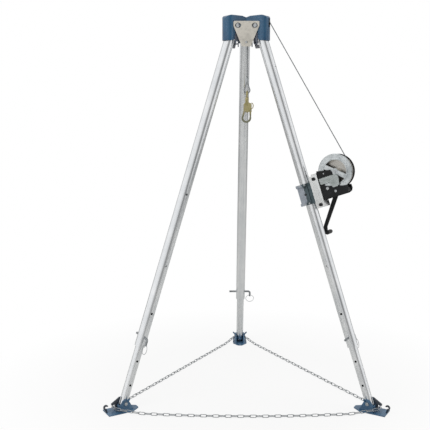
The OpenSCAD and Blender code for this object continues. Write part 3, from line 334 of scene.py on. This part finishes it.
def yellow_zinc():
    """Yellow-chromated zinc on forged steel: pale dull gold, worn grey towards the bowl."""
    mat, tree, shader = new_material("yellow_chromate_zinc", "#aaa27a", 0.6, 0.38)
    place = object_place(tree)
    cloud = noise(tree, place, 22, 3.0)
    tint = tints(tree, cloud, (0.3, "#958b60"), (0.5, "#b9b07f"), (0.68, "#b0a588"))
    wear_run = 25
    fade = {"From Min": BRIDGE_H * MM, "From Max": (BRIDGE_H - wear_run) * MM, "To Max": 0.8}
    worn = add_node(tree, "ShaderNodeMapRange", fade, {"Value": split(tree, place)["Z"]})
    wire(tree, shader, Base_Color=laid_over(tree, tint, worn.outputs["Result"], "#777a6c"),
         Roughness=span(tree, cloud, 0.26, 0.42))
    return mat


def moulded_nylon(name, colour, rough):
    """Moulded nylon: smooth, slightly cloudy."""
    mat, tree, shader = new_material(name, colour, 0.0, rough)
    cloud = noise(tree, object_place(tree), 12, 3.0)
    wire(tree, shader, Roughness=span(tree, cloud, rough - 0.08, rough + 0.1))
    return mat


BLUE = blue_enamel("blue_enamel", "#1a4464", "#265676")
FOOT_BLUE = {}
LEG_METAL = {}
for side in ARM:
    LEG_METAL[side] = drawn_aluminium("drawn_aluminium_" + side, leg_frame(side).to_euler())
    # Painted light: the feet carry the head's enamel, painted paler as the light on them
    FOOT_BLUE[side] = blue_enamel("blue_foot_enamel_" + side, "#3a5c7a", "#4a6e8c",
                                  arm_frame(side).to_euler())
ZINC = plated_steel("zinc_plated_steel", "#9a9ea2", "#c9ccce", 0.26, 0.46, 5)
# The drum's inside, behind its near flange, carries painted shade
DRUM_ZINC = plated_steel("pressed_zinc_steel", "#a9b0b3", "#dee3e5", 0.2, 0.4, 12,
                         inside=1 - DRUM_W / 2)
PIN = plated_steel("dull_zinc_pin", "#74787b", "#a3a7aa", 0.32, 0.5, 5)
CHAIN_ZINC = plated_steel("galvanised_chain_steel", "#8b8f92", "#bfc3c6", 0.34, 0.55, 3)
PLATE = plated_steel("brushed_stainless", "#d3cfc5", "#f3eee3", 0.22, 0.4, 18)
# Painted shade: the side plates are the front plate's steel, painted darker grey
SHADED_SIDE_PLATE = plated_steel("stainless_painted_shade", "#84858c", "#a3a4a9", 0.3, 0.5, 9)
CHANNEL = plated_steel("bright_aluminium_channel", "#eef1f2", "#fcfdfd", 0.16, 0.28, 14)
BLACK = black_powder_coat("black_powder_coat", "#0b0c0e", 0.42)
SHEAVE = black_powder_coat("black_oxide_steel", "#17181a", 0.38)
GRIP = moulded_nylon("black_moulded_nylon", "#0f1011", 0.45)
NYLON = moulded_nylon("white_moulded_nylon", "#e4e3dd", 0.4)
CAST = cast_grey("cast_grey_aluminium", "#8d949d", "#a9b0b9", 0.5)
EYE_GREY = cast_grey("grey_blue_casting", "#4d535f", "#666c78", 0.4)
# Painted shade: the saddle is the clamp's casting, painted dark teal for the shade it sits in
SHADED_SADDLE = cast_grey("saddle_casting_painted_shade", "#3f4c50", "#56646a", 0.4)
KEEPER = cast_grey("grey_painted_bar", "#99a09e", "#b9bfbf", 0.45)
GEAR = plated_steel("oiled_gear_steel", "#44474a", "#6a6d70", 0.3, 0.45, 4)
FERRULE = plated_steel("crimped_aluminium", "#a9adb0", "#c4c8ca", 0.34, 0.5, 4)
GOLD = yellow_zinc()
ROPE = wire_rope()


def paint(obj, mat):
    obj.data.materials.clear()
    obj.data.materials.append(mat)


node_paint = {
    "head_shell": BLUE, "keystone_front": PLATE, "keystone_left": SHADED_SIDE_PLATE,
    "keystone_right": SHADED_SIDE_PLATE, "anchor_eyes": EYE_GREY, "hinge_bolts": ZINC, "hinge_nuts": ZINC,
    "outer_sheave": SHEAVE, "outer_sheave_axle": ZINC, "centre_sheave": SHEAVE,
    "centre_sheave_axle": ZINC, "saddle": SHADED_SADDLE, "clamp": CAST, "clamp_bolts": ZINC,
    "mount_channel": CHANNEL, "winch_base": CHANNEL, "mount_bolts": BLACK, "winch_frame": BLACK,
    "keeper_bar": KEEPER, "frame_bolts": ZINC, "drum_axle": ZINC, "drum": DRUM_ZINC,
    "drum_gear": GEAR, "crank_shaft": GEAR, "crank_arm": BLACK, "crank_grip": GRIP,
    "line_eye": ZINC, "swivel_eye": GOLD, "snap_hook": GOLD, "gate_pin": ZINC, "hook_gate": GOLD,
    "line_over_head": ROPE, "line_drop": ROPE, "line_to_winch": ROPE, "wire_winding": ROPE,
}
for side in ARM:
    node_paint["upper_leg_" + side] = LEG_METAL[side]
    node_paint["lower_leg_" + side] = LEG_METAL[side]
    node_paint["leg_bush_" + side] = NYLON
    node_paint["top_plug_" + side] = ZINC
    node_paint["foot_bolt_" + side] = ZINC
    node_paint["foot_" + side] = FOOT_BLUE[side]
    node_paint["lock_pin_" + side] = PIN
    node_paint["chain_" + side] = CHAIN_ZINC
for name, mat in node_paint.items():
    paint(nodes[name], mat)


# Pieces

body_of_node = {n: b for b, names in frame["record"]["behaviour"]["bodies"].items() for n in names}


def new_piece(name, mesh, mat):
    """An object of that mesh at the origin."""
    piece = bpy.data.objects.new(name, mesh)
    bpy.context.collection.objects.link(piece)
    paint(piece, mat)
    return piece


def stand_for(piece, node):
    """The piece stands for a CAD node, which is hidden."""
    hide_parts(node)
    return piece


def mesh_of(bm, name):
    """A mesh of a bmesh, which is freed."""
    mesh = bpy.data.meshes.new(name)
    bm.to_mesh(mesh)
    bm.free()
    return mesh


def smooth(mesh, angle):
    """Smooth shading that breaks at edges sharper than angle, in degrees."""
    for face in mesh.polygons:
        face.use_smooth = True
    mesh.set_sharp_from_angle(angle=math.radians(angle))


def rounded(node, mat, width):
    """A copy of a node's solid, its sharp edges eased by a width in millimetres, in its place."""
    bm = bmesh.new()
    bm.from_mesh(nodes[node].data)
    bmesh.ops.remove_doubles(bm, verts=bm.verts, dist=2e-6)
    bmesh.ops.dissolve_limit(bm, angle_limit=math.radians(0.4), verts=bm.verts, edges=bm.edges)
    pairs = [e for e in bm.edges if len(e.link_faces) == 2]
    sharp = [e for e in pairs if e.calc_face_angle() > math.radians(SHARP)]
    bmesh.ops.bevel(bm, geom=sharp, offset=width * MM, offset_type="OFFSET", affect="EDGES",
                    segments=2, profile=0.5, material=-1, clamp_overlap=True)
    mesh = mesh_of(bm, "eased_" + node)
    smooth(mesh, 30)
    piece = new_piece("eased_" + node, mesh, mat)
    fair = piece.modifiers.new("fair", "WEIGHTED_NORMAL")
    fair.keep_sharp = True
    stand_for(piece, node)
    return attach(piece, body_of_node[node])


# Line: its free stretches, the stretch over the head and the turns on the drum

# Ends past the sheaves, of the stretch over the head and of the free stretches
LINE_TAIL, LINE_GAP = 4.0, 4.2
# The layer of turns beneath the outer one
UNDER_R, UNDER_TURNS, UNDER_PITCH = 74.8, 4.5, 5.35
# Points in one turn
TURN_STEPS = 36


def tube(name, points, diameter, mat):
    """A round tube along points in metres.

    Its map "lay" goes once round in U and in millimetres along it in V.
    """
    curve = bpy.data.curves.new(name, "CURVE")
    curve.dimensions = "3D"
    curve.bevel_depth = diameter * MM / 2
    curve.bevel_resolution = 3
    curve.use_fill_caps = True
    curve.twist_mode = "MINIMUM"
    spline = curve.splines.new("POLY")
    spline.points.add(len(points) - 1)
    for point, place in zip(spline.points, points):
        point.co = (*place, 1.0)
    maker = bpy.data.objects.new(name, curve)
    bpy.context.collection.objects.link(maker)
    bpy.context.view_layer.update()
    depsgraph = bpy.context.evaluated_depsgraph_get()
    mesh = bpy.data.meshes.new_from_object(maker.evaluated_get(depsgraph))
    bpy.data.objects.remove(maker)
    bpy.data.curves.remove(curve)
    mesh.name = name
    length = sum((Vector(a) - Vector(b)).length for a, b in zip(points, points[1:])) / MM
    lay = mesh.uv_layers["UVMap"]
    lay.name = "lay"
    for corner in lay.data:
        corner.uv[1] *= length
    smooth(mesh, 60)
    return new_piece(name, mesh, mat)


def even(a, b, steps):
    """Points from a to b in even steps."""
    return [a.lerp(b, i / steps) for i in range(steps + 1)]


leg_r = leg_frame("right")
arm_r = arm_frame("right")
sheave_at = leg_r.inverted() @ arm_r @ Vector((SHEAVE_OUT * MM, 0, SHEAVE_H * MM))
drum_at = Vector((DRUM_N * MM, 0, -DRUM_S * MM))
reach = drum_at - sheave_at
lean = math.asin((WIND_R - SHEAVE_PATH) * MM / math.hypot(reach.x, reach.z))
line_normal = math.atan2(reach.z, reach.x) + math.pi / 2 + lean
off = Vector((math.cos(line_normal), 0, math.sin(line_normal)))
wind_half = (WIND_TURNS - 0.5) * WIND_PITCH / 2
line_start = sheave_at + off * SHEAVE_PATH * MM
line_touch = drum_at + off * WIND_R * MM + Vector((0, wind_half * MM, 0))
line_way = (line_touch - line_start).normalized()


def line_to_winch():
    a = leg_r @ (line_start + line_way * LINE_GAP * MM)
    b = leg_r @ (line_touch - line_way * LINE_D * MM)
    path = even(a, b, 24)
    piece = stand_for(tube("line_to_winch_rope", path, LINE_D, ROPE), "line_to_winch")
    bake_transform(piece)


def line_drop():
    foot = arm_r @ Vector((DROP_R * MM, 0, 0))
    a = foot + Vector((0, 0, (SHEAVE_H - LINE_GAP) * MM))
    b = foot + Vector((0, 0, FERRULE_TOP * MM))
    path = even(a, b, 20)
    piece = stand_for(tube("line_drop_rope", path, LINE_D, ROPE), "line_drop")
    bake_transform(piece)


def on_sheave(x, turn):
    """Point of the line on the sheave at x, in millimetres in the plane of the right arm."""
    return x + SHEAVE_PATH * math.cos(turn), SHEAVE_H + SHEAVE_PATH * math.sin(turn)


def line_over_head():
    """The stretch that lies on the two sheaves."""
    lift = line_normal + LEG_LEAN
    x, z = on_sheave(SHEAVE_OUT, lift)
    points = [(x + LINE_TAIL * math.sin(lift), z - LINE_TAIL * math.cos(lift))]
    for i in range(9):
        points.append(on_sheave(SHEAVE_OUT, lift + (math.pi / 2 - lift) * i / 8))
    for i in range(13):
        points.append(on_sheave(DROP_R + SHEAVE_PATH, math.pi / 2 * (1 + i / 12)))
    points.append((DROP_R, SHEAVE_H - LINE_TAIL))
    path = [arm_r @ Vector((x * MM, 0, z * MM)) for x, z in points]
    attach(stand_for(tube("line_over_head_rope", path, LINE_D, ROPE), "line_over_head"), "head")


def drum_turns(start, way, radius, count, pitch):
    """Points of turns on the drum in the right leg's frame, from an angle on, way 1 or -1."""
    points = []
    for i in range(int(count * TURN_STEPS) + 1):
        turn = start + way * math.radians(360 * i / TURN_STEPS)
        y = way * pitch * (i / TURN_STEPS - count / 2)
        points.append(drum_at + Vector((radius * math.cos(turn), y, radius * math.sin(turn))) * MM)
    return points


def winding():
    """The outer layer of turns on the drum, and a layer of close turns beneath it."""
    outer = drum_turns(line_normal, -1, WIND_R, WIND_TURNS - 0.5, WIND_PITCH)
    path = [leg_r @ q for q in [line_touch - line_way * LINE_D * MM] + outer]
    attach(stand_for(tube("drum_winding_rope", path, LINE_D, ROPE), "wire_winding"), "drum")
    under = [leg_r @ q for q in drum_turns(0.0, 1, UNDER_R, UNDER_TURNS, UNDER_PITCH)]
    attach(stand_for(tube("drum_under_rope", under, LINE_D, ROPE), "wire_winding"), "drum")


# Rope eye: thimble, rope loop and crimped ferrule

LOOP_R, LOOP_TIP, TIP_GAP = 16.4, 48.0, 0.6
LINER_R, LINER_TIP, LINER_D = 14.0, 41.0, 4.4
SLEEVE_R, SLEEVE_LOW, SLEEVE_EDGE = 6.0, THIMBLE_H + 40, 1.2
SLEEVE_LEN = FERRULE_TOP - SLEEVE_LOW
# The crimp flattens the sleeve
CRIMP = (1.1, 0.78, 1.0)
# Dead end of the rope: its place beside the line and in the sleeve, its lean and length
STUB_D, STUB_X, STUB_IN, STUB_LEAN, STUB_LEN = 4.2, 3.4, 2.0, 0.4, 8.0


def teardrop(radius, tip):
    """Points of a loop in the x-z plane about the thimble's centre, from the tip round and back."""
    centre = arm_r @ Vector((DROP_R * MM, 0, THIMBLE_H * MM))
    open_angle = math.acos(radius / tip)
    first, last = math.pi / 2 + open_angle, math.pi / 2 - open_angle + 2 * math.pi
    arc = [first + (last - first) * i / 28 for i in range(29)]
    round_part = [(radius * math.cos(a), radius * math.sin(a)) for a in arc]
    flat = [(-TIP_GAP, tip)] + round_part + [(TIP_GAP, tip)]
    return [centre + Vector((x, 0, z)) * MM for x, z in flat]


def sleeve_mesh(middle):
    """The crimped sleeve about a point."""
    bm = bmesh.new()
    bmesh.ops.create_cone(bm, cap_ends=True, segments=24, radius1=SLEEVE_R * MM,
                          radius2=SLEEVE_R * MM, depth=SLEEVE_LEN * MM)
    rims = [e for e in bm.edges if e.calc_face_angle(0) > math.radians(60)]
    bmesh.ops.bevel(bm, geom=rims, offset=SLEEVE_EDGE * MM, affect="EDGES", segments=3,
                    profile=0.5, material=-1)
    bmesh.ops.scale(bm, vec=CRIMP, verts=bm.verts)
    bmesh.ops.translate(bm, vec=middle, verts=bm.verts)
    mesh = mesh_of(bm, "rope_eye_ferrule")
    smooth(mesh, 35)
    return mesh


def rope_eye():
    loop = tube("rope_eye_loop", teardrop(LOOP_R, LOOP_TIP), LINE_D, ROPE)
    liner = tube("rope_eye_thimble", teardrop(LINER_R, LINER_TIP), LINER_D, ZINC)
    middle = arm_r @ Vector((DROP_R * MM, 0, (SLEEVE_LOW + FERRULE_TOP) / 2 * MM))
    ferrule = new_piece("rope_eye_ferrule", sleeve_mesh(middle), FERRULE)
    stub_at = middle + Vector((STUB_X, 0, SLEEVE_LEN / 2 - STUB_IN)) * MM
    stub_end = stub_at + Vector((STUB_LEAN, 0, STUB_LEN)) * MM
    stub = tube("rope_eye_dead_end", even(stub_at, stub_end, 4), STUB_D, ROPE)
    for piece in (loop, liner, ferrule, stub):
        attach(stand_for(piece, "line_eye"), "line_end")


# Chain: long links of round wire through the notches of the feet


def half_turn(bm, geom, x):
    """Sweeps a ring of wire half round a point on the x axis; returns the edges at its end."""
    swept = bmesh.ops.spin(bm, geom=geom, cent=(x, 0, 0), axis=(0, 0, 1), angle=math.pi, steps=5)
    return [e for e in swept["geom_last"] if isinstance(e, bmesh.types.BMEdge)]


def link_mesh():
    """One link about the origin, its length along x: two straights and two half rings of wire."""
    mid, half = (LINK_W + LINK_WIRE) * MM / 2, (LINK_LEN - LINK_W) * MM / 2
    bm = bmesh.new()
    ring = bmesh.ops.create_circle(
        bm, cap_ends=False, radius=LINK_WIRE * MM / 2, segments=6,
        matrix=Matrix.Translation((half, -mid, 0)) @ Matrix.Rotation(math.pi / 2, 4, "Y"))["verts"]
    first = list({e for v in ring for e in v.link_edges})
    ends = half_turn(bm, ring + first, half)
    straight = bmesh.ops.extrude_edge_only(bm, edges=ends)["geom"]
    moved = [v for v in straight if isinstance(v, bmesh.types.BMVert)]
    bmesh.ops.translate(bm, verts=moved, vec=(-2 * half, 0, 0))
    edges = [e for e in straight if isinstance(e, bmesh.types.BMEdge)]
    edges = [e for e in edges if all(v in moved for v in e.verts)]
    ends = half_turn(bm, moved + edges, -half)
    bmesh.ops.bridge_loops(bm, edges=first + ends)
    bmesh.ops.recalc_face_normals(bm, faces=bm.faces)
    return mesh_of(bm, "link")


def chain_home(side):
    return arm_frame(side) @ Vector((FOOT_R + CHAIN_HOLD_X, 0, 0))


def span_points(a, b):
    """Link ends from foot a to foot b, in millimetres; the end links turn out past the ears."""
    home = {a: chain_home(a), b: chain_home(b)}
    way, out = (home[b] - home[a]).normalized(), (home[a] + home[b]).normalized()
    ends = []
    for foot, m in ((a, 1), (b, -1)):
        across = Vector((0, 0, 1)).cross(home[foot]).normalized()
        first = m * math.cos(CHAIN_TURN) * way + math.sin(CHAIN_TURN) * out
        seat = home[foot] + m * (LINK_LEN - LINK_W) / 2 * across + LINK_SEAT * first
        ends.append((seat, seat + (LINK_LEN - END_SLACK) * first))
    points = [ends[0][0]]
    for i in range(1, SPAN_LINKS):
        u = (i - 1) / (SPAN_LINKS - 2)
        q = ends[0][1].lerp(ends[1][1], u)
        if (a, b) == ("left", "right"):
            q.y -= CHAIN_BOW * 4 * u * (1 - u)
        points.append(q)
    points.append(ends[1][0])
    for i, q in enumerate(points):
        ease = max(0.0, 1 - min(i, SPAN_LINKS - i) * LINK_LEN / CHAIN_EASE)
        q.z = CHAIN_LOW + (CHAIN_HOLD - CHAIN_LOW) * ease * ease * (3 - 2 * ease)
    return points


def link_place(p, q, upright):
    """Matrix that lays a link between two points, on its side or upright."""
    way = (q - p).normalized()
    turn = way.to_track_quat("X", "Z").to_matrix().to_4x4()
    roll = Matrix.Rotation(math.pi / 2 if upright else 0.0, 4, "X")
    return Matrix.Translation((p + q) / 2 * MM) @ turn @ roll


def chain_piece(name, places, link):
    bm = bmesh.new()
    for place in places:
        before = len(bm.verts)
        bm.from_mesh(link)
        bm.verts.ensure_lookup_table()
        bmesh.ops.transform(bm, matrix=place, verts=bm.verts[before:])
    mesh = mesh_of(bm, name)
    smooth(mesh, 80)
    return new_piece(name, mesh, CHAIN_ZINC)


def chain():
    link = link_mesh()
    order = ["left", "right", "back"]
    for k, side in enumerate(order):
        home = chain_home(side)
        across = Vector((0, 0, 1)).cross(home).normalized() * LINK_LEN / 2
        hold = home + Vector((0, 0, CHAIN_HOLD))
        flat = link_place(hold - across, hold + across, False)
        held = chain_piece("chain_notch_" + side, [flat], link)
        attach(stand_for(held, "chain_" + side), "leg_" + side)
        ahead, behind = order[(k + 1) % 3], order[(k + 2) % 3]
        out = span_points(side, ahead)
        back = span_points(behind, side)
        half = (SPAN_LINKS + 1) // 2
        runs = (("ahead", ahead, out, range(half)),
                ("behind", behind, back, range(half, SPAN_LINKS)))
        for word, other, ends, which in runs:
            places = [link_place(ends[i], ends[i + 1], i % 2 == 0) for i in which]
            piece = chain_piece(f"chain_{word}_{side}", places, link)
            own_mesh(piece)
            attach(stand_for(piece, "chain_" + side), "leg_" + side)
    bpy.data.meshes.remove(link)


line_to_winch()
line_drop()
line_over_head()
winding()
rope_eye()
chain()
for name, width in EASED.items():
    rounded(name, node_paint[name], width)


# Stage


def add_floor():
    bm = bmesh.new()
    bmesh.ops.create_grid(bm, x_segments=1, y_segments=1, size=12.0)
    floor = bpy.data.objects.new("floor", mesh_of(bm, "floor"))
    bpy.context.collection.objects.link(floor)
    mat, tree, shader = new_material("pale_floor", "#cfcfcd", 0.0, 0.7)
    # Seen directly, the floor fades to the background's white away from the tripod
    out = tree.nodes["Material Output"]
    place = object_place(tree)
    away = add_node(tree, "ShaderNodeVectorMath", {"operation": "LENGTH"}, {0: place})
    fade = add_node(tree, "ShaderNodeMapRange",
                    {"From Min": 0.7, "From Max": 1.6, "To Min": 0.86, "To Max": 1.0},
                    {"Value": away.outputs["Value"]})
    seen = add_node(tree, "ShaderNodeLightPath").outputs["Is Camera Ray"]
    share = maths(tree, "MULTIPLY", links={0: fade.outputs["Result"], 1: seen})
    white = add_node(tree, "ShaderNodeEmission", {"Color": (1, 1, 1, 1), "Strength": 1.0})
    shares = {0: share, 1: shader.outputs["BSDF"], 2: white.outputs["Emission"]}
    mixed = add_node(tree, "ShaderNodeMixShader", links=shares)
    tree.links.new(mixed.outputs["Shader"], out.inputs["Surface"])
    paint(floor, mat)


def add_light(name, place, aim, size, power):
    data = bpy.data.lights.new(name, "AREA")
    data.shape = "RECTANGLE"
    data.size, data.size_y = size
    data.energy = power
    light = bpy.data.objects.new(name, data)
    light.location = place
    light.rotation_euler = (Vector(aim) - Vector(place)).to_track_quat("-Z", "Y").to_euler()
    # Metal mirrors the room of the world, not the lamps
    light.visible_glossy = False
    bpy.context.collection.objects.link(light)


# Brightness that bare metal mirrors, by the direction in degrees from the front, positive to the
# right: a broad soft box on the left, a dark gap right of the camera, a second box on the right
ROOM = [
    (-180, 0.6), (-150, 0.55), (-125, 0.8), (-100, 1.0), (-35, 1.0), (-8, 0.85), (12, 0.36),
    (22, 0.22), (34, 0.4), (54, 0.95), (100, 1.0), (125, 0.6), (150, 0.45), (180, 0.6),
]


def add_world():
    world = bpy.data.worlds.new("studio")
    bpy.context.scene.world = world
    world.use_nodes = True
    tree = world.node_tree
    back = tree.nodes["Background"]
    path = add_node(tree, "ShaderNodeLightPath")
    rays = {0: path.outputs["Is Camera Ray"], 1: path.outputs["Is Transmission Ray"]}
    seen = maths(tree, "MAXIMUM", links=rays)
    way = split(tree, add_node(tree, "ShaderNodeTexCoord").outputs["Generated"])
    front = maths(tree, "MULTIPLY", {1: -1.0}, {0: way["Y"]})
    turn = maths(tree, "ARCTAN2", links={0: way["X"], 1: front})
    part = add_node(tree, "ShaderNodeMapRange", {"From Min": -math.pi, "From Max": math.pi},
                    {"Value": turn})
    levels = [((angle + 180) / 360, (level, level, level, 1)) for angle, level in ROOM]
    room = ramp(tree, part.outputs["Result"], levels)
    mirrored = add_node(tree, "ShaderNodeMapRange", {"To Min": 0.5},
                        {"Value": path.outputs["Is Glossy Ray"], "To Max": room})
    strength = add_node(tree, "ShaderNodeMapRange", {"To Max": 1.0},
                        {"Value": seen, "To Min": mirrored.outputs["Result"]})
    back.inputs["Color"].default_value = (1, 1, 1, 1)
    tree.links.new(strength.outputs["Result"], back.inputs["Strength"])


add_floor()
add_world()
add_light("key", (-2.6, -2.8, 3.4), (0, 0, 1.0), (2.4, 2.4), 85)
add_light("fill", (3.4, -0.8, 2.4), (0, 0, 1.0), (2.0, 2.0), 35)
add_light("top", (0.3, 1.2, 4.2), (0, 0, 0.8), (2.4, 2.4), 50)

bpy.context.scene.view_settings.view_transform = "Standard"
